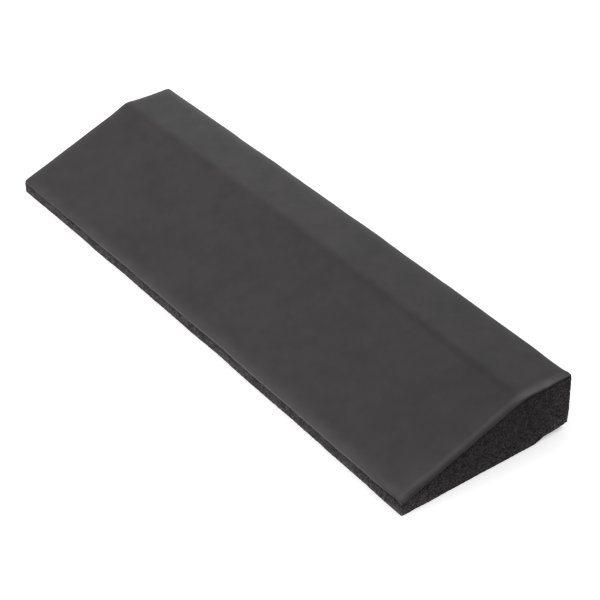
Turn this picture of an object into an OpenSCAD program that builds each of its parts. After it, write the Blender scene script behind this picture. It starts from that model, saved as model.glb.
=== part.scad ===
// Long foam wedge for balance, stretching and heel-raise exercises.
// X runs along the crest, Y from the thin front edge to the tall rear face, Z up.
// The origin is the centre of the underside.

/* [Wedge] */
// Length along the crest
length = 515; // [300:1:800]
// Depth from the front edge to the rear face
depth = 150; // [130:1:240]
// Height where the ramp would meet the front face if its edge were sharp
front_h = 12; // [8:0.5:16]
// Height of the crest, where the ramp meets the top land
crest_h = 50; // [40:0.1:70]
// How far the rear edge lies below the crest
rear_drop = 0.5; // [0:0.1:4]
// Width of the top land behind the crest
land_w = 44; // [30:1:60]

/* [Edges] */
// Radius that blends the ramp into the top land
crest_r = 22; // [8:1:30]
// Radius that the skin rolls over at the two ends
end_roll_r = 2.5; // [2.1:0.1:6]
// Radius of the front top edge
front_edge_r = 2.5; // [0.5:0.1:3]
// Radius of the rear top edge
rear_edge_r = 2.5; // [0.5:0.5:5]
// Radius of the rear bottom edge
heel_r = 3; // [0.5:0.5:6]
// Radius of the four upright corners
corner_r = 1.5; // [1:0.5:6]

/* [Skin] */
// Thickness of the smooth skin bonded over the ramp and the land
skin_t = 1.2; // [0.6:0.1:2]

/* [Hidden] */
$fn = 96;

// How far a cutting tool runs past the face that it cuts
over = 1;
// Radius that leaves an outline's corner sharp
sharp = 0;

front_y = -depth / 2;
rear_y = depth / 2;
crest_y = rear_y - land_w;
rear_h = crest_h - rear_drop;

// The cross-section's top line, [y, z], from the front edge over the crest to the rear edge
front_top = [front_y, front_h];
crest_top = [crest_y, crest_h];
rear_top = [rear_y, rear_h];

function unit(v) = v / norm(v);

// Angle of the line from a to b above the horizontal
function slope(a, b) = atan2(b[1] - a[1], b[0] - a[0]);

// Corners are [x, y, radius]. These give the point of a corner and the unit vectors along its sides.
function corner_at(corners, i) =
    let (c = corners[(i + len(corners)) % len(corners)]) [c[0], c[1]];
function side_back(corners, i) = unit(corner_at(corners, i - 1) - corner_at(corners, i));
function side_on(corners, i) = unit(corner_at(corners, i + 1) - corner_at(corners, i));

// Half of the angle inside corner i
function half_angle(corners, i) = acos(side_back(corners, i) * side_on(corners, i)) / 2;

// Distance from corner i to where its arc starts
function arc_reach(corners, i) = corners[i][2] / tan(half_angle(corners, i));

// Centre of the arc at corner i
function arc_centre(corners, i) =
    corner_at(corners, i)
    + unit(side_back(corners, i) + side_on(corners, i)) * corners[i][2] / sin(half_angle(corners, i));

// A convex outline whose corners are true arcs
module rounded_outline(corners) {
    intersection() {
        polygon([for (i = [0 : len(corners) - 1]) corner_at(corners, i)]);
        union() {
            polygon([for (i = [0 : len(corners) - 1])
                each [
                    corner_at(corners, i) + side_back(corners, i) * arc_reach(corners, i),
                    corner_at(corners, i) + side_on(corners, i) * arc_reach(corners, i)
                ]]);
            for (i = [0 : len(corners) - 1])
                if (corners[i][2] > sharp)
                    translate(arc_centre(corners, i)) circle(r = corners[i][2]);
        }
    }
}

// Stands a drawing in Y and Z up and runs it along X, centred on the origin
module along_x(run) {
    rotate([90, 0, 90])
        translate([0, 0, -run / 2])
            linear_extrude(run) children();
}

// The wedge's cross-section, with its top lowered by drop
module wedge_section(drop) {
    rounded_outline([
        [front_y, 0, sharp],
        [rear_y, 0, heel_r],
        [rear_y, rear_h - drop, rear_edge_r - min(drop, rear_edge_r / 2)],
        [crest_y, crest_h - drop, crest_r - drop],
        [front_y, front_h - drop, front_edge_r - min(drop, front_edge_r / 2)]
    ]);
}

// The waste outside a roll of radius r on the end edge of the flat from a to b
module roll_waste(a, b, end_x, r) {
    run = norm(b - a) + 2 * depth;
    translate([end_x, a[0], a[1]])
        rotate([slope(a, b) - 90, 0, 0])
            translate([0, 0, -depth])
                linear_extrude(run)
                    difference() {
                        translate([-r, -over]) square([r + over, r + over]);
                        translate([-r, r]) circle(r = r);
                    }
}

// The whole wedge, with its ends and its top drawn in by drop
module wedge(drop) {
    lower = [0, -drop];
    end_x = length / 2 - drop;
    difference() {
        intersection() {
            along_x(2 * end_x) wedge_section(drop);
            linear_extrude(crest_h)
                rounded_outline([
                    [-end_x, front_y, corner_r],
                    [end_x, front_y, corner_r],
                    [end_x, rear_y, corner_r],
                    [-end_x, rear_y, corner_r]
                ]);
        }
        for (side = [0, 1])
            mirror([side, 0, 0]) {
                roll_waste(front_top + lower, crest_top + lower, end_x, end_roll_r - drop);
                roll_waste(crest_top + lower, rear_top + lower, end_x, end_roll_r - drop);
            }
    }
}

// The layer that the skin lies in: everything down to the foot of the end rolls
module skin_layer() {
    foot = [0, -end_roll_r];
    along_x(length + 2 * over)
        polygon([
            front_top + foot - [over, 0],
            front_top + foot,
            crest_top + foot,
            rear_top + foot,
            rear_top + foot + [over, 0],
            [rear_y + over, crest_h + over],
            [front_y - over, crest_h + over]
        ]);
}

// Smooth moulded skin over the ramp and the land, rolled down over both ends
module top_skin() {
    color([0.27, 0.27, 0.27])
        difference() {
            intersection() {
                wedge(0);
                skin_layer();
            }
            wedge(skin_t);
        }
}

// Closed-cell foam body: its front, rear, ends and underside are cut foam
module foam_core() {
    color([0.13, 0.13, 0.14])
        difference() {
            wedge(0);
            top_skin();
        }
}

foam_core();
top_skin();
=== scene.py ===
"""The looks of a foam balance wedge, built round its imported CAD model.

The wedge is two pieces: a block of cut closed-cell foam with open pores, and the smooth skin bonded over
its ramp and its top land. Lengths are in metres, in the CAD model's frame: X along the crest, Y from the
thin front edge to the tall rear face, Z up. The near end is the one at +X, towards the camera.
"""

import math

import bmesh
import bpy
import numpy as np
from mathutils import Matrix, Vector
from mathutils.geometry import delaunay_2d_cdt


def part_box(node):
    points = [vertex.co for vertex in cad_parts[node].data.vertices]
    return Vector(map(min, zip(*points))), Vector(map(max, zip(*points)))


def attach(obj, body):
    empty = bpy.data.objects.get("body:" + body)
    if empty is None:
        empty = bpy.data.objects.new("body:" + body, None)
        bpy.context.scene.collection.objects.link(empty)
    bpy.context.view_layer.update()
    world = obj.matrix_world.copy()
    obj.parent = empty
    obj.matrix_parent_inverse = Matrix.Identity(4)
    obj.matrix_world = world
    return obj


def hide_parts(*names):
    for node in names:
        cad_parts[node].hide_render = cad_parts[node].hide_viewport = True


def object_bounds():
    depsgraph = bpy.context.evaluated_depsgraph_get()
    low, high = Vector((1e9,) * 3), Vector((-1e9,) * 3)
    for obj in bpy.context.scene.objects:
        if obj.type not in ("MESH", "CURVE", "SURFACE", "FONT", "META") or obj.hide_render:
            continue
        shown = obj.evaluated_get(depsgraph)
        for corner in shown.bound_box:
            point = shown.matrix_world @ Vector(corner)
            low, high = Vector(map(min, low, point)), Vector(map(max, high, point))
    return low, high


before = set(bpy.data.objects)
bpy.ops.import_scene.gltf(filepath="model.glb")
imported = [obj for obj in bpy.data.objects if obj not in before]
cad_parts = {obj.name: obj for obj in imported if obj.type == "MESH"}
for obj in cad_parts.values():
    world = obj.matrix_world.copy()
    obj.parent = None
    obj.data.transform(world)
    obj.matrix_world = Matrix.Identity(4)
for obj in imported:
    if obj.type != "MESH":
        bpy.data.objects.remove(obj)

MM = 0.001

# ---------------------------------------------------------------- sizes read from the frame

cad_low, cad_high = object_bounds()
HALF = (cad_high.x - cad_low.x) / 2  # half of the length
FRONT, REAR = cad_low.y, cad_high.y
DEPTH = REAR - FRONT
MIDDLE = (FRONT + REAR) / 2
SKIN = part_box("top_skin")[1].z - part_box("foam_core")[1].z  # thickness of the skin


def cad_height(y):
    """Height of the CAD model's top, near the middle of its length."""
    above = Vector((1 * MM, y, 1))
    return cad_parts["top_skin"].ray_cast(above, Vector((0, 0, -1)))[1].z


def line_through(y_a, y_b):
    """Slope, and height at y = 0, of the straight stretch of the top that passes through two places."""
    slope = (cad_height(y_b) - cad_height(y_a)) / (y_b - y_a)
    return slope, cad_height(y_a) - slope * y_a


RAMP = line_through(FRONT + 0.2 * DEPTH, FRONT + 0.5 * DEPTH)
LAND = line_through(REAR - 0.16 * DEPTH, REAR - 0.06 * DEPTH)
CREST = (LAND[1] - RAMP[1]) / (RAMP[0] - LAND[0])  # where the two lines cross

# ------------------------------------------------------------ how the real foam departs from the plain form

BLEND = 4.2 * MM  # half of the width of the soft bend at the crest
END_BLEND = 9.0 * MM  # and of the softer bend where the crest meets the near end
END_ROLL = (11.0 * MM, 2.5 * MM)  # how far in a roll starts, and how far it drops the edge
FRONT_ROLL = (10.5 * MM, 2.1 * MM)
REAR_ROLL = (9.0 * MM, 1.3 * MM)
EDGE_R = 1.7 * MM  # how far in the skin starts to turn down to its cut edge
EDGE_T = 0.7 * MM  # how thick the skin is at its cut edge
THIN_WIDTH = 5.0 * MM  # how far in it reaches its full thickness
CORNER_R = 0.8 * MM  # upright corners
FAR_CORNER_R = 2.0 * MM  # the one at the far rear
WORN_CORNER_R = 2.5 * MM  # the one that is worn round, at the far front
BOW = 1.8 * MM  # both long edges bow to the rear by this much
GROOVE = 0.10 * MM  # depth of the groove before the crest, which is three times that towards the near end
GAP = 0.02 * MM  # left between the foam and the skin, so that their meshes never touch
CHAMFER = 0.25 * MM  # rubbed edges of the cut foam
PORE = 0.42 * MM  # depth of the deepest open pores
HEEL_LIFT = 3.3 * MM  # how far the rear corner of the near end is lifted
HEEL_TILT = 0.14  # slope at which it rises further, over the last of the depth
HEEL_REACH = 22 * MM  # height at which the lift has faded out
REAR_PROUD = 0.8 * MM  # how far the foam stands out behind the skin at that corner
REAR_SINK = 0.45 * MM  # how far the skin is pressed down there
SWELL = 0.35 * MM  # how far the cut foam swells out below the skin's edge


# ---------------------------------------------------------------- repeatable noise


def lattice(i, j, k, seed):
    """A repeatable number from 0 to 1 for each whole-number place, from a hash with large odd factors."""
    mix = np.uint64(0xFFFFFFFF)
    h = (i.astype(np.int64) * 73856093) ^ (j.astype(np.int64) * 19349663) ^ (k.astype(np.int64) * 83492791)
    h = (h.astype(np.uint64) + np.uint64(seed * 2654435761)) & mix
    for shift in (15, 13, 16):
        h = ((h ^ (h >> np.uint64(shift))) * np.uint64(2246822519)) & mix
    return (h ^ (h >> np.uint64(15))).astype(float) / float(mix)


def clouds(points, size, seed):
    """Smooth noise from -1 to 1 whose lumps are about `size` across."""
    p = points / size
    cell = np.floor(p)
    t = p - cell
    t = t * t * t * (t * (t * 6 - 15) + 10)
    total = np.zeros(len(points))
    for di in (0, 1):
        for dj in (0, 1):
            for dk in (0, 1):
                corner = lattice(cell[:, 0] + di, cell[:, 1] + dj, cell[:, 2] + dk, seed)
                share = abs(1 - di - t[:, 0]) * abs(1 - dj - t[:, 1]) * abs(1 - dk - t[:, 2])
                total += corner * share
    return total * 2 - 1


PIT_REACH = 0.62  # radius of a pit, as a share of the distance between two


def pits(points, size, seed):
    """Round pits scattered about `size` apart: 1 at the middle of a pit, 0 on the wall between two."""
    p = points / size
    cell = np.floor(p)
    nearest = np.full(len(points), 9.0)
    for di in (-1, 0, 1):
        for dj in (-1, 0, 1):
            for dk in (-1, 0, 1):
                at = cell + np.array([di, dj, dk])
                shift = np.stack([lattice(*at.T, seed + n) for n in range(3)], 1)
                nearest = np.minimum(nearest, np.linalg.norm(at + shift - p, axis=1))
    return np.clip(1 - (nearest / PIT_REACH) ** 2, 0, 1)


def eased(value, start, end):
    """0 before start and 1 after end, with a smooth rise between."""
    t = np.clip((value - start) / (end - start), 0, 1)
    return t * t * (3 - 2 * t)


def within(distance, full, none):
    """1 up to a distance of `full`, falling smoothly to 0 at `none`."""
    return 1 - eased(distance, full, none)


def bell(value, middle, width):
    """1 at the middle, falling smoothly away on both sides of it."""
    return np.exp(-(((value - middle) / width) ** 2))


# ---------------------------------------------------------------- the form


def roll_drop(distance_in, roll):
    """How far a soft roll lowers the top at a distance in from its edge."""
    width, drop = roll
    return drop * (np.clip(width - distance_in, 0, None) / width) ** 2


def front_roll(x, y):
    """How far the front's roll lowers the top, which is least at the near end."""
    near = HALF - x
    share = 1 + 0.08 * eased(x + HALF, 20 * MM, 90 * MM) * eased(near, 30 * MM, 70 * MM)
    share = share - 0.11 * bell(x, 0.1 * HALF, 0.27 * HALF)
    share = share - 0.4 * within(near, 12 * MM, 45 * MM) - 0.5 * within(near, 6 * MM, 16 * MM)
    return share * roll_drop(y - FRONT, FRONT_ROLL)


def rolled(x, y):
    """How far the soft rolls lower the top. At a corner, where two meet, the skin is pulled down less."""
    which_end = np.stack([np.sign(x), y, np.zeros_like(y)], 1)
    near_share = 1 + 0.22 * clouds(which_end, 17 * MM, 15)
    far_share = 0.78 - 0.4 * bell(y, CREST, 9 * MM)
    at_end = roll_drop(HALF - np.abs(x), END_ROLL) * np.where(x < 0, far_share, near_share)
    at_side = front_roll(x, y) + roll_drop(REAR - y, REAR_ROLL)
    corner = np.sqrt(at_end * at_side) / END_ROLL[1]
    held = np.where((x > 0) & (y < MIDDLE), 0.6, 0.2)
    sunk = REAR_SINK * within(HALF - x, 8 * MM, 45 * MM) * within(REAR - y, 0, 12 * MM)
    return np.cbrt(at_end**3 + at_side**3) * (1 - held * corner) + sunk


def top_height(x, y):
    """Height of the skin's outer face, before its tight edge, over the plain rectangle of the plan."""
    near = HALF - x
    ramp = RAMP[0] * y + RAMP[1]
    land = LAND[0] * y + LAND[1]
    blend = BLEND + (END_BLEND - BLEND) * within(near, 0, 16 * MM)
    reach = blend * (RAMP[0] - LAND[0])
    overlap = np.clip(reach - np.abs(ramp - land), 0, None)
    height = np.minimum(ramp, land) - overlap**2 / (4 * reach) - rolled(x, y)
    groove = GROOVE * (1 + 2 * eased(x, -0.3 * HALF, 0.8 * HALF)) * eased(near, 4 * MM, 16 * MM)
    height = height - groove * bell(y, CREST - 3.2 * MM, 1.7 * MM)
    flat = np.stack([x, y, np.zeros_like(x)], 1)
    return height + 0.16 * MM * clouds(flat, 45 * MM, 3) + 0.05 * MM * clouds(flat, 13 * MM, 4)


def corner_radius(x, y):
    """Radius of the upright corner that a place is nearest to."""
    far = np.where(y < MIDDLE, WORN_CORNER_R, FAR_CORNER_R)
    return np.where(x < 0, far, CORNER_R)


def corner_place(x, y):
    """Place inside a corner's square, from 0 to 1 each way; 0 outside it."""
    r = corner_radius(x, y)
    a = np.clip((np.abs(x) - HALF + r) / r, 0, None)
    b = np.clip((np.abs(y - MIDDLE) - DEPTH / 2 + r) / r, 0, None)
    return a, b, r


def from_border(x, y):
    """Distance in from the plan's rounded border."""
    a, b, r = corner_place(x, y)
    straight = np.minimum(HALF - np.abs(x), DEPTH / 2 - np.abs(y - MIDDLE))
    turned = r - r * np.sqrt(np.clip(a * a + b * b - a * a * b * b, 0, None))
    return np.where((a > 0) & (b > 0), turned, straight)


def edge_depth(x, y):
    """Thickness of the skin at its cut edge, less along the front and at the near end of the land."""
    end = 0.4 * within(HALF - x, 4 * MM, 12 * MM) * eased(y, CREST - 4 * MM, CREST + 8 * MM)
    front = 0.65 * within(y - FRONT, 2 * MM, 10 * MM) * eased(HALF - np.abs(x), 0, 8 * MM)
    return EDGE_T * (1 - end - front)


def skin_depth(x, y):
    """Thickness of the skin, which thins towards its cut edge."""
    thin = edge_depth(x, y)
    return thin + (SKIN - thin) * eased(from_border(x, y), 0, THIN_WIDTH)


def settle(points, is_foam):
    """Takes points from the plain block to the real one. The upright corners are round, the long edges bow
    and the cut edges wander. The foam swells below the skin's edge, and at one rear corner it is lifted and
    stands proud.
    """
    x, y, z = points.T.copy()
    a, b, r = corner_place(x, y)
    inside = (a > 0) & (b > 0)
    round_x = HALF - r + r * a * np.sqrt(np.clip(1 - b * b / 2, 0, None))
    round_y = DEPTH / 2 - r + r * b * np.sqrt(np.clip(1 - a * a / 2, 0, None))
    x = np.where(inside, np.sign(x) * round_x, x)
    y = np.where(inside, MIDDLE + np.sign(y - MIDDLE) * round_y, y)
    along = np.stack([x, np.zeros_like(x), np.zeros_like(x)], 1)
    across = np.stack([np.zeros_like(y), y, np.zeros_like(y)], 1)
    wander_y = 0.28 * MM * clouds(along, 34 * MM, 11) + 0.10 * MM * clouds(along, 9 * MM, 12)
    wander_x = 0.25 * MM * clouds(across, 26 * MM, 13) + 0.10 * MM * clouds(across, 8 * MM, 14)
    wander_y = wander_y * within(np.minimum(y - FRONT, REAR - y), 0, 12 * MM)
    wander_x = wander_x * within(HALF - np.abs(x), 0, 12 * MM)
    bow = BOW * (1 - (x / HALF) ** 2) - BOW / 2
    if is_foam:
        near, to_rear = HALF - x, REAR - y
        below = eased(foam_top(x, y) - z, 0.2 * MM, 2.5 * MM)
        swell_x = SWELL * below * within(HALF - np.abs(x), 0, 3 * MM)
        swell_y = SWELL * below * within(DEPTH / 2 - np.abs(y - MIDDLE), 0, 3 * MM)
        heel = HEEL_LIFT * within(to_rear, 19 * MM, 32 * MM)
        heel = heel + HEEL_TILT * np.clip(12 * MM - to_rear, 0, None)
        heel = heel * within(near, 12 * MM, 75 * MM) * np.clip(1 - z / HEEL_REACH, 0, 1)
        proud = REAR_PROUD * within(near, 1 * MM, 10 * MM) * within(to_rear, 0, 3 * MM)
        y = y + swell_y * np.sign(y - MIDDLE) + proud * eased(z, 0, 16 * MM)
        x = x + swell_x * np.sign(x)
        z = z + heel
    return np.stack([x + wander_x, y + bow + wander_y, z], 1)


# ---------------------------------------------------------------- mesh helpers


def spread(start, *stretches):
    """Places from start through each (end, step) in turn."""
    places = [np.array([start])]
    for end, step in stretches:
        count = max(1, round(abs(end - places[-1][-1]) / step))
        places.append(np.linspace(places[-1][-1], end, count + 1)[1:])
    return np.concatenate(places)


def new_piece(name, places, faces, material):
    """A smooth closed mesh object with its faces turned outwards."""
    mesh = bpy.data.meshes.new(name)
    mesh.from_pydata(places.tolist(), [], faces)
    shaped = bmesh.new()
    shaped.from_mesh(mesh)
    bmesh.ops.holes_fill(shaped, edges=[e for e in shaped.edges if e.is_boundary], sides=4)
    bmesh.ops.recalc_face_normals(shaped, faces=shaped.faces)
    shaped.to_mesh(mesh)
    shaped.free()
    mesh.polygons.foreach_set("use_smooth", [True] * len(mesh.polygons))
    mesh.materials.append(material)
    mesh.update()
    piece = bpy.data.objects.new(name, mesh)
    bpy.context.scene.collection.objects.link(piece)
    return piece


def vertex_places(mesh):
    flat = np.zeros(len(mesh.vertices) * 3)
    mesh.vertices.foreach_get("co", flat)
    return flat.reshape(-1, 3)


def vertex_normals(mesh):
    flat = np.zeros(len(mesh.vertices) * 3, np.float32)
    mesh.vertex_normals.foreach_get("vector", flat)
    return flat.reshape(-1, 3).astype(float)


def set_places(mesh, places):
    mesh.vertices.foreach_set("co", places.ravel())
    mesh.update()


def set_tone(piece, tone):
    """How many times as light as the rest of its material each vertex is."""
    piece.data.attributes.new("tone", "FLOAT", "POINT").data.foreach_set("value", tone)


# ---------------------------------------------------------------- the skin


def skin_stations():
    """Where the skin's grid lines run along X and Y: close together on the rolls and over the crest."""
    edge = EDGE_R * np.sin(np.radians([18, 36, 54, 72, 90]))
    one_side = spread(0, (HALF - 9 * MM, 2.4 * MM), (HALF - EDGE_R, 0.8 * MM))
    one_side = np.concatenate([one_side, HALF - EDGE_R + edge])
    xs = np.concatenate([-one_side[:0:-1], one_side])
    ys = spread(
        FRONT + EDGE_R,
        (FRONT + 9 * MM, 0.8 * MM),
        (CREST - 9 * MM, 2.4 * MM),
        (CREST + 7 * MM, 0.7 * MM),
        (REAR - 6 * MM, 2.4 * MM),
        (REAR - EDGE_R, 0.7 * MM),
    )
    ys = np.concatenate([(FRONT + EDGE_R - edge)[::-1], ys, REAR - EDGE_R + edge])
    return xs, ys


def skin_tone(x, y):
    """Lighter or darker skin, mostly by painted light: painted shade along the crease before the crest, on
    the ramp near the near end, where the ramp's ends turn down and along the cut front edge; painted
    highlights along the near end's roll and where the skin rolls over the front; and a paler patch near the
    front of the near end.
    """
    near, in_front = HALF - x, y - FRONT
    on_ramp = 1 - eased(y, CREST - 30 * MM, CREST - 8 * MM)
    at_tip = within(near, 15 * MM, 35 * MM)
    # painted shade along the crease before the crest, stronger towards the near end
    crease_strength = (0.15 + 0.85 * eased(x, -0.25 * HALF, 0.75 * HALF)) * (0.3 + 0.7 * eased(near, 5 * MM, 18 * MM))
    crease = 0.3 * crease_strength * bell(y, CREST - 3.0 * MM, 2.6 * MM)
    # a paler patch near the front of the near end
    pale_patch = 0.37 * bell(near, 11 * MM, 6 * MM) * bell(in_front, 17 * MM, 11 * MM)
    # painted shade on the ramp, a little way in from the near end
    shade = 0.17 * bell(near, 23 * MM, 12 * MM) * bell(y, CREST - 36 * MM, 34 * MM)
    # painted highlight along the near end's roll, weaker beyond the crest and stronger again near the rear
    highlight_at = (5.1 - 1.2 * eased(in_front, 10 * MM, 38 * MM)) * MM
    roll_highlight = bell(near, highlight_at, 1.4 * MM) + 0.15 * bell(near, 7.5 * MM, 3.5 * MM)
    beyond_crest = eased(y, CREST - 8 * MM, CREST + 4 * MM)
    roll_highlight = roll_highlight * (1 - 0.7 * beyond_crest + 0.45 * within(REAR - y, 2 * MM, 12 * MM))
    # painted shade on the ramp's turned-down edge at the near end, weaker further back from the front
    turned = 0.35 * within(near, 1.2 * MM, 2.6 * MM) * on_ramp
    turned = turned * (1 - 0.8 * eased(in_front, 20 * MM, 60 * MM))
    # painted shade on the ramp's turned-down edge at the far end
    far_end = 0.08 * within(x + HALF, 3 * MM, 9 * MM) * on_ramp
    # painted highlight where the skin rolls over the front, stronger near the tip
    front_roll_highlight = (0.14 + 0.45 * at_tip) * bell(in_front, 3.2 * MM, 2.2 * MM)
    # painted shade along the turned-down front edge of the skin, strongest at the tip
    front_edge_shade = 0.3 + 0.42 * eased(x, -HALF, 0.1 * HALF) + 0.4 * at_tip
    front_edge_shade = front_edge_shade * within(in_front, 0.2 * MM, (1.7 - 0.6 * at_tip) * MM)
    tone = 1 + pale_patch + roll_highlight + front_roll_highlight - crease - shade - turned - far_end - front_edge_shade
    return np.clip(tone, 0.05, None)


def make_skin(material):
    """The skin: an outer and an inner face that share one border, where the outer one turns down."""
    xs, ys = skin_stations()
    x, y = (g.ravel() for g in np.meshgrid(xs, ys, indexing="ij"))
    form = top_height(x, y)
    into_edge = 1 - np.clip(from_border(x, y) / EDGE_R, 0, 1)
    outer = np.stack([x, y, form - edge_depth(x, y) * (1 - np.sqrt(1 - into_edge**2))], 1)
    inner = np.stack([x, y, form - skin_depth(x, y)], 1)
    wide, deep = len(xs), len(ys)
    number = np.arange(wide * deep).reshape(wide, deep)
    border = np.zeros((wide, deep), bool)
    border[[0, -1], :] = border[:, [0, -1]] = True
    inner_number = number.copy()
    inner_number[~border] = wide * deep + np.arange((~border).sum())
    faces = []
    for grid in (number, inner_number[:, ::-1]):
        corners = np.stack([grid[:-1, :-1], grid[1:, :-1], grid[1:, 1:], grid[:-1, 1:]], -1)
        faces += corners.reshape(-1, 4).tolist()
    plain = np.concatenate([outer, inner[~border.ravel()]])
    piece = new_piece("smooth_skin", settle(plain, False), faces, material)
    set_tone(piece, skin_tone(plain[:, 0], plain[:, 1]))
    return piece


# ---------------------------------------------------------------- the foam


class Block:
    """A closed block. Each of its faces is filled with triangles, and strips join their borders."""

    def __init__(self):
        self.places = []
        self.faces = []
        self.cut = []  # 1 where the foam was cut, so that it has pores

    def face(self, u_span, v_low, v_high, counts, step, place, cut):
        """Fills the region between two heights over a span. counts are the steps along the low, high, start
        and end sides. place takes (u, v) to a point. Returns each side's vertex numbers, in the direction
        that u or v grows.
        """
        u0, u1 = u_span
        low_n, high_n, start_n, end_n = counts
        low_u, high_u = np.linspace(u0, u1, low_n + 1), np.linspace(u0, u1, high_n + 1)
        low = np.stack([low_u, v_low(low_u)], 1)
        high = np.stack([high_u, v_high(high_u)], 1)
        start = np.linspace(low[0], high[0], start_n + 1)
        end = np.linspace(low[-1], high[-1], end_n + 1)
        outline = np.concatenate([low[:-1], end[:-1], high[:0:-1], start[:0:-1]])
        rows = max(1, int((max(high[:, 1]) - min(low[:, 1])) / (step * 0.866)))
        u, v = np.meshgrid(np.arange(u0, u1, step), min(low[:, 1]) + step * 0.866 * np.arange(rows + 1))
        u = (u + (np.arange(rows + 1) % 2)[:, None] * step / 2).ravel()
        v = v.ravel()
        whole = np.stack([np.round(u / step * 2), np.round(v / step * 2), np.zeros_like(u)], 1)
        u = u + step * 0.3 * (lattice(*whole.T, 21) - 0.5)
        v = v + step * 0.3 * (lattice(*whole.T, 22) - 0.5)
        clear = 0.45 * step
        inside = (u > u0 + clear) & (u < u1 - clear) & (v > v_low(u) + clear) & (v < v_high(u) - clear)
        points = np.concatenate([outline, np.stack([u[inside], v[inside]], 1)])
        made = delaunay_2d_cdt(
            [Vector(p) for p in points.tolist()], [], [list(range(len(outline)))], 1, 1e-9, True
        )
        first = len(self.places)
        triangles = np.array([ids[0] for ids in made[3]])[np.array(made[2])]
        middle = points[triangles].mean(1)
        above = middle[:, 1] > np.interp(middle[:, 0], low_u, low[:, 1])
        below = middle[:, 1] < np.interp(middle[:, 0], high_u, high[:, 1])
        self.places += place(points[:, 0], points[:, 1]).tolist()
        self.cut += [cut] * len(points)
        self.faces += (first + triangles[above & below]).tolist()
        ring = first + np.arange(len(outline))
        corner = np.cumsum([0, low_n, end_n, high_n])
        return {
            "low": ring[corner[0] : corner[1] + 1],
            "end": ring[corner[1] : corner[2] + 1],
            "high": ring[corner[2] : corner[3] + 1][::-1],
            "start": np.concatenate([ring[corner[3] :], ring[:1]])[::-1],
        }

    def strip(self, run_a, run_b):
        for n in range(len(run_a) - 1):
            self.faces.append([int(run_a[n]), int(run_a[n + 1]), int(run_b[n + 1]), int(run_b[n])])

    def corner(self, *ends):
        self.faces.append([int(n) for n in ends])


def foam_top(x, y):
    return top_height(x, y) - skin_depth(x, y) - GAP


def foam_tone(x, y, z):
    """Painted light and shade on the cut foam: lighter low down and at the front and rear corners of the
    ends, darker high up and just under the skin's edge.
    """
    near, in_front = HALF - x, y - FRONT
    at_end = within(HALF - np.abs(x), 0, 2 * MM)
    at_front = within(in_front, 0, 2 * MM)
    # painted light: lighter low down, and a little darker high up on the walls
    tone = 1 + 0.5 * within(z, 1 * MM, 15 * MM) - 0.1 * eased(z, 18 * MM, 34 * MM)
    # painted light and shade on the front towards the near end: lighter near the floor, darker above it
    low_front = 0.62 * (within(z, 1 * MM, 5 * MM) - 0.4) * eased(x, 0.1 * HALF, 0.7 * HALF)
    tone = tone + at_front * low_front
    # painted shade just under the skin's edge, stronger on the ends and weaker along the front towards the
    # near end
    lip_shade_relief = 0.45 * eased(x, 0.2 * HALF, 0.6 * HALF) * eased(near, 16 * MM, 34 * MM)
    lip_shade = 0.3 + 0.2 * at_end - lip_shade_relief * at_front
    tone = tone * (1 - lip_shade * bell(foam_top(x, y) - z, 0, 2.2 * MM))
    # painted light at the front and rear corners of the end faces
    corners = 0.5 * within(in_front, 8 * MM, 42 * MM) + 0.35 * within(REAR - y, 8 * MM, 26 * MM)
    return tone * (1 + at_end * corners)


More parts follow.
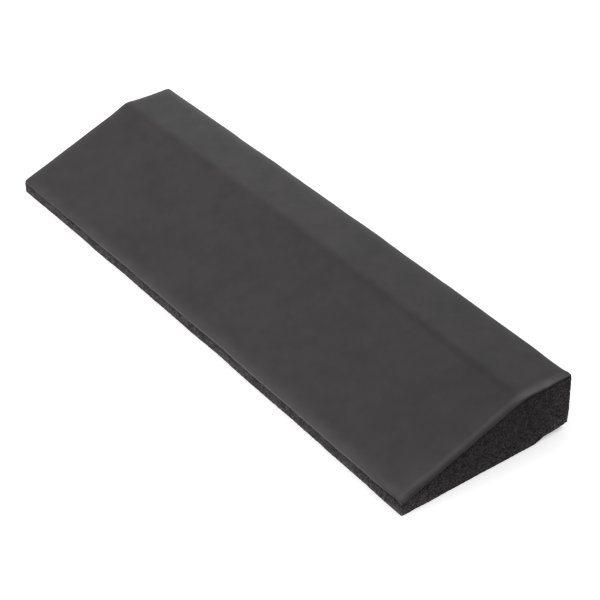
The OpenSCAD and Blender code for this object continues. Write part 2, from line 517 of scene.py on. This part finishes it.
def make_foam(material):
    """The cut foam: six faces with rubbed edges, and pores in each face but the one under the skin."""
    fine, coarse, under, covered = 0.62 * MM, 1.0 * MM, 2.2 * MM, 4 * MM  # triangle sizes
    rim = 0.06 * MM  # the edge under the skin is hardly rubbed
    along_front, along_rear, across = round(2 * HALF / fine), round(2 * HALF / coarse), round(DEPTH / fine)
    up_front, up_rear = 14, 57  # steps up the upright edges
    long_span = (CHAMFER - HALF, HALF - CHAMFER)
    cross_span = (FRONT + CHAMFER, REAR - CHAMFER)
    block = Block()

    def level(height):
        return lambda u: np.full_like(u, height)

    def long_wall(y, count, up, step):
        return block.face(
            long_span,
            level(CHAMFER),
            lambda x: foam_top(x, np.full_like(x, y)) - rim,
            (count, count, up, up),
            step,
            lambda x, z: np.stack([x, np.full_like(x, y), z], 1),
            1.0,
        )

    def end_wall(x):
        return block.face(
            cross_span,
            level(CHAMFER),
            lambda y: foam_top(np.full_like(y, x), y) - rim,
            (across, across, up_front, up_rear),
            fine,
            lambda y, z: np.stack([np.full_like(y, x), y, z], 1),
            1.0,
        )

    nose = long_wall(FRONT, along_front, up_front, fine)
    rear = long_wall(REAR, along_rear, up_rear, coarse)
    far, near = end_wall(-HALF), end_wall(HALF)
    base = block.face(
        long_span,
        level(FRONT + CHAMFER),
        level(REAR - CHAMFER),
        (along_front, along_rear, across, across),
        under,
        lambda x, y: np.stack([x, y, np.zeros_like(x)], 1),
        0.6,
    )
    top = block.face(
        (rim - HALF, HALF - rim),
        level(FRONT + rim),
        level(REAR - rim),
        (along_front, along_rear, across, across),
        covered,
        lambda x, y: np.stack([x, y, foam_top(x, y)], 1),
        0.0,
    )
    for wall, side in ((nose, "low"), (rear, "high")):
        block.strip(wall["low"], base[side])
        block.strip(wall["high"], top[side])
    for wall, side in ((far, "start"), (near, "end")):
        block.strip(wall["low"], base[side])
        block.strip(wall["high"], top[side])
        block.strip(wall["start"], nose[side])
        block.strip(wall["end"], rear[side])
    for end, index in ((far, 0), (near, -1)):
        for wall, end_index, side in ((nose, 0, "low"), (rear, -1, "high")):
            block.corner(end["low"][end_index], wall["low"][index], base[side][index])
            block.corner(end["high"][end_index], wall["high"][index], top[side][index])

    plain = np.array(block.places)
    piece = new_piece("foam_body", settle(plain, True), block.faces, material)
    places, normals = vertex_places(piece.data), vertex_normals(piece.data)
    x, y, z = plain.T
    pores = 0.62 * pits(places, 2.1 * MM, 31) + 0.38 * pits(places, 1.25 * MM, 41)
    uneven = 0.12 * MM * (1 + clouds(places, 6 * MM, 51)) / 2
    depth = (PORE * pores + uneven) * np.array(block.cut) * eased(foam_top(x, y) - z, 0, 1.5 * MM)
    set_places(piece.data, places - normals * depth[:, None])
    set_tone(piece, foam_tone(x, y, z))
    return piece


# ---------------------------------------------------------------- materials


class Nodes:
    """Short calls for building one material's nodes."""

    def __init__(self, name):
        self.material = bpy.data.materials.new(name)
        self.material.use_nodes = True
        self.tree = self.material.node_tree
        self.shader = self.tree.nodes["Principled BSDF"]
        self.place = self.add("ShaderNodeTexCoord").outputs["Object"]

    def add(self, kind, settings=(), **inputs):
        node = self.tree.nodes.new(kind)
        for key, value in dict(settings).items():
            setattr(node, key, value)
        for key, value in inputs.items():
            self.feed(node.inputs[key.replace("_", " ")], value)
        return node

    def feed(self, socket, value):
        if isinstance(value, bpy.types.NodeSocket):
            self.tree.links.new(value, socket)
        else:
            socket.default_value = value

    def noise(self, size, detail=2.0, roughness=0.5):
        """Cloudy noise from 0 to 1, with lumps about `size` across."""
        return self.add(
            "ShaderNodeTexNoise", Vector=self.place, Scale=1 / size, Detail=detail, Roughness=roughness
        ).outputs["Fac"]

    def cells(self, size):
        """Distance to the middle of the nearest cell: 0 in the middle, about 0.8 at the walls."""
        node = self.add("ShaderNodeTexVoronoi", {"feature": "F1"}, Vector=self.place, Scale=1 / size)
        return node.outputs["Distance"]

    def scaled(self, value, from_low, from_high, to_low=0.0, to_high=1.0):
        """The value, taken smoothly from one range to another."""
        limits = {"From Min": from_low, "From Max": from_high, "To Min": to_low, "To Max": to_high}
        node = self.add("ShaderNodeMapRange", {"interpolation_type": "SMOOTHSTEP"}, Value=value)
        for key, number in limits.items():
            node.inputs[key].default_value = number
        return node.outputs["Result"]

    def math(self, operation, a, b=0.0):
        node = self.add("ShaderNodeMath", {"operation": operation})
        self.feed(node.inputs[0], a)
        self.feed(node.inputs[1], b)
        return node.outputs[0]

    def mixed(self, factor, dark, light):
        """A colour from dark to light as factor goes from 0 to 1."""
        node = self.add("ShaderNodeMix", {"data_type": "RGBA"})
        self.feed(node.inputs[0], factor)
        node.inputs[6].default_value = (*dark, 1)
        node.inputs[7].default_value = (*light, 1)
        return node.outputs[2]

    def toned(self, colour):
        """The colour, lighter or darker by the mesh's tone attribute, which holds mostly painted light and
        shade.
        """
        tone = self.add("ShaderNodeAttribute", {"attribute_name": "tone"}).outputs["Fac"]
        node = self.add("ShaderNodeVectorMath", {"operation": "SCALE"}, Vector=colour, Scale=tone)
        return node.outputs["Vector"]

    def bump(self, height, distance, strength=1.0, under=None):
        node = self.add("ShaderNodeBump", Height=height, Distance=distance, Strength=strength)
        if under is not None:
            self.feed(node.inputs["Normal"], under)
        return node.outputs["Normal"]


def black(level, cast=1.0):
    """A near-black, so many times as light as white, with a plum cast of the given strength."""
    return (level * (1 + 0.055 * cast), level * (1 - 0.06 * cast), level * (1 + 0.01 * cast))


def skin_material():
    """Smooth dark grey skin: a satin face, softly clouded, with the fine grain of moulded foam."""
    n = Nodes("smooth_skin")
    broad = n.noise(36 * MM, 3.0, 0.6)
    patch = n.noise(11 * MM, 3.0, 0.6)
    cloud = n.math("ADD", n.math("MULTIPLY", broad, 0.55), n.math("MULTIPLY", patch, 0.45))
    colour = n.mixed(n.scaled(cloud, 0.32, 0.68), black(0.016, 1.3), black(0.0245, 1.3))
    n.feed(n.shader.inputs["Base Color"], n.toned(colour))
    n.feed(n.shader.inputs["Roughness"], n.scaled(cloud, 0.32, 0.68, 0.44, 0.40))
    n.shader.inputs["Specular IOR Level"].default_value = 0.5
    grain = n.math("ADD", n.noise(0.45 * MM, 2.0, 0.6), n.math("MULTIPLY", n.noise(1.6 * MM, 2.0), 0.8))
    wave = n.bump(n.noise(7 * MM, 2.0), 0.05 * MM)
    n.feed(n.shader.inputs["Normal"], n.bump(grain, 0.012 * MM, 1.0, wave))
    return n.material


def foam_material():
    """Cut closed-cell foam: dark open cells between paler torn walls, the cells' darkness partly painted
    shade in the pores.
    """
    n = Nodes("cut_foam")
    large = n.cells(1.2 * MM)
    small = n.cells(0.65 * MM)
    torn = n.math("ADD", n.math("MULTIPLY", large, 0.6), n.math("MULTIPLY", small, 0.4))
    for size, share in ((0.6 * MM, 0.35), (6 * MM, 0.42)):
        ragged = n.math("SUBTRACT", n.noise(size, 2.0), 0.5)
        torn = n.math("ADD", torn, n.math("MULTIPLY", ragged, share))
    colour = n.mixed(n.scaled(torn, 0.25, 0.85), black(0.001), black(0.042))
    n.feed(n.shader.inputs["Base Color"], n.toned(colour))
    n.shader.inputs["Roughness"].default_value = 0.82
    n.shader.inputs["Specular IOR Level"].default_value = 0.1
    n.feed(n.shader.inputs["Normal"], n.bump(torn, 0.35 * MM, 0.9))
    return n.material


def plain_material(name, level, glow):
    """A matt grey that gives off a little light of its own."""
    n = Nodes(name)
    n.shader.inputs["Base Color"].default_value = (level, level, level, 1)
    n.shader.inputs["Roughness"].default_value = 1.0
    n.shader.inputs["Specular IOR Level"].default_value = 0.0
    n.shader.inputs["Emission Color"].default_value = (1, 1, 1, 1)
    n.shader.inputs["Emission Strength"].default_value = glow
    return n.material


# ---------------------------------------------------------------- the studio

VIEW = (54.87, 36.12, -1.82)  # the camera's azimuth, elevation and roll, in degrees
LENS = 107.4  # its focal length in millimetres, on a sensor 36 mm wide
CAMERA_AT = (0.02357, -0.00174, 1.4033)  # its place along its own right, up and back directions
WORLD_LIGHT = 0.293
FLOOR_REACH = 6.0
FLOOR_TONE, FLOOR_GLOW = 0.85, 0.48
SOFTBOXES = (  # name, degrees around from +X, degrees above the floor, width, power in watts, distance
    ("front", 270, 12, 0.9, 22.8, 2.0),
    ("back_high", 60, 60, 0.9, 10.0, 2.0),
    ("front_high", 240, 60, 0.9, 3.6, 2.0),
    ("left", 180, 35, 2.4, 5.8, 2.2),
    ("front_right", 315, 12, 0.9, 3.4, 2.0),
    ("back", 90, 35, 0.9, 2.6, 2.0),
    ("back_left", 135, 12, 0.9, 1.7, 2.0),
    ("overhead", 0, 89, 1.2, 1.7, 2.0),
    ("near_front_left", 235, 15, 0.5, 4.5, 1.0),
    ("near_back_left", 150, 25, 0.5, 0.25, 1.0),
    ("near_back_high", 120, 45, 0.5, 0.28, 1.0),
)


def view_axes(azimuth, elevation, roll):
    """The camera's right, up and back directions. Azimuth 0 looks along +Y."""
    a, e, r = (math.radians(v) for v in (azimuth, elevation, roll))
    back = Vector((math.sin(a) * math.cos(e), -math.cos(a) * math.cos(e), math.sin(e)))
    right = Vector((math.cos(a), math.sin(a), 0))
    up = back.cross(right)
    return right * math.cos(r) + up * math.sin(r), up * math.cos(r) - right * math.sin(r), back


def make_camera():
    """A long lens above the near end, looking down the wedge."""
    right, up, back = view_axes(*VIEW)
    along_right, along_up, along_back = CAMERA_AT
    data = bpy.data.cameras.new("camera")
    data.sensor_width = 36.0
    data.lens = LENS
    data.clip_end = 50
    camera = bpy.data.objects.new("camera", data)
    camera.matrix_world = Matrix((right, up, back)).transposed().to_4x4()
    camera.location = right * along_right + up * along_up + back * along_back - Vector((0, BOW / 2, 0))
    bpy.context.scene.collection.objects.link(camera)
    bpy.context.scene.camera = camera


def softbox(name, around, above, size, power, distance):
    """A square area light aimed at the middle of the floor."""
    a, e = math.radians(around), math.radians(above)
    towards = Vector((math.cos(a) * math.cos(e), math.sin(a) * math.cos(e), math.sin(e)))
    data = bpy.data.lights.new(name, "AREA")
    data.shape = "SQUARE"
    data.size = size
    data.energy = power
    light = bpy.data.objects.new(name, data)
    light.location = towards * distance
    light.rotation_euler = (-towards).to_track_quat("-Z", "Y").to_euler()
    bpy.context.scene.collection.objects.link(light)


def make_floor():
    mesh = bpy.data.meshes.new("floor")
    corners = [(x * FLOOR_REACH, y * FLOOR_REACH, 0) for x, y in ((-1, -1), (1, -1), (1, 1), (-1, 1))]
    mesh.from_pydata(corners, [], [(0, 1, 2, 3)])
    mesh.materials.append(plain_material("pale_floor", FLOOR_TONE, FLOOR_GLOW))
    floor = bpy.data.objects.new("floor", mesh)
    bpy.context.scene.collection.objects.link(floor)


def make_world():
    world = bpy.data.worlds.new("studio")
    world.use_nodes = True
    background = world.node_tree.nodes["Background"]
    background.inputs["Color"].default_value = (1, 1, 1, 1)
    background.inputs["Strength"].default_value = WORLD_LIGHT
    bpy.context.scene.world = world


make_camera()
make_world()
make_floor()
for settings in SOFTBOXES:
    softbox(*settings)
bpy.context.scene.view_settings.view_transform = "Standard"

foam = make_foam(foam_material())
skin = make_skin(skin_material())

for piece in (foam, skin):
    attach(piece, "root")
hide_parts("foam_core")
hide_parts("top_skin")
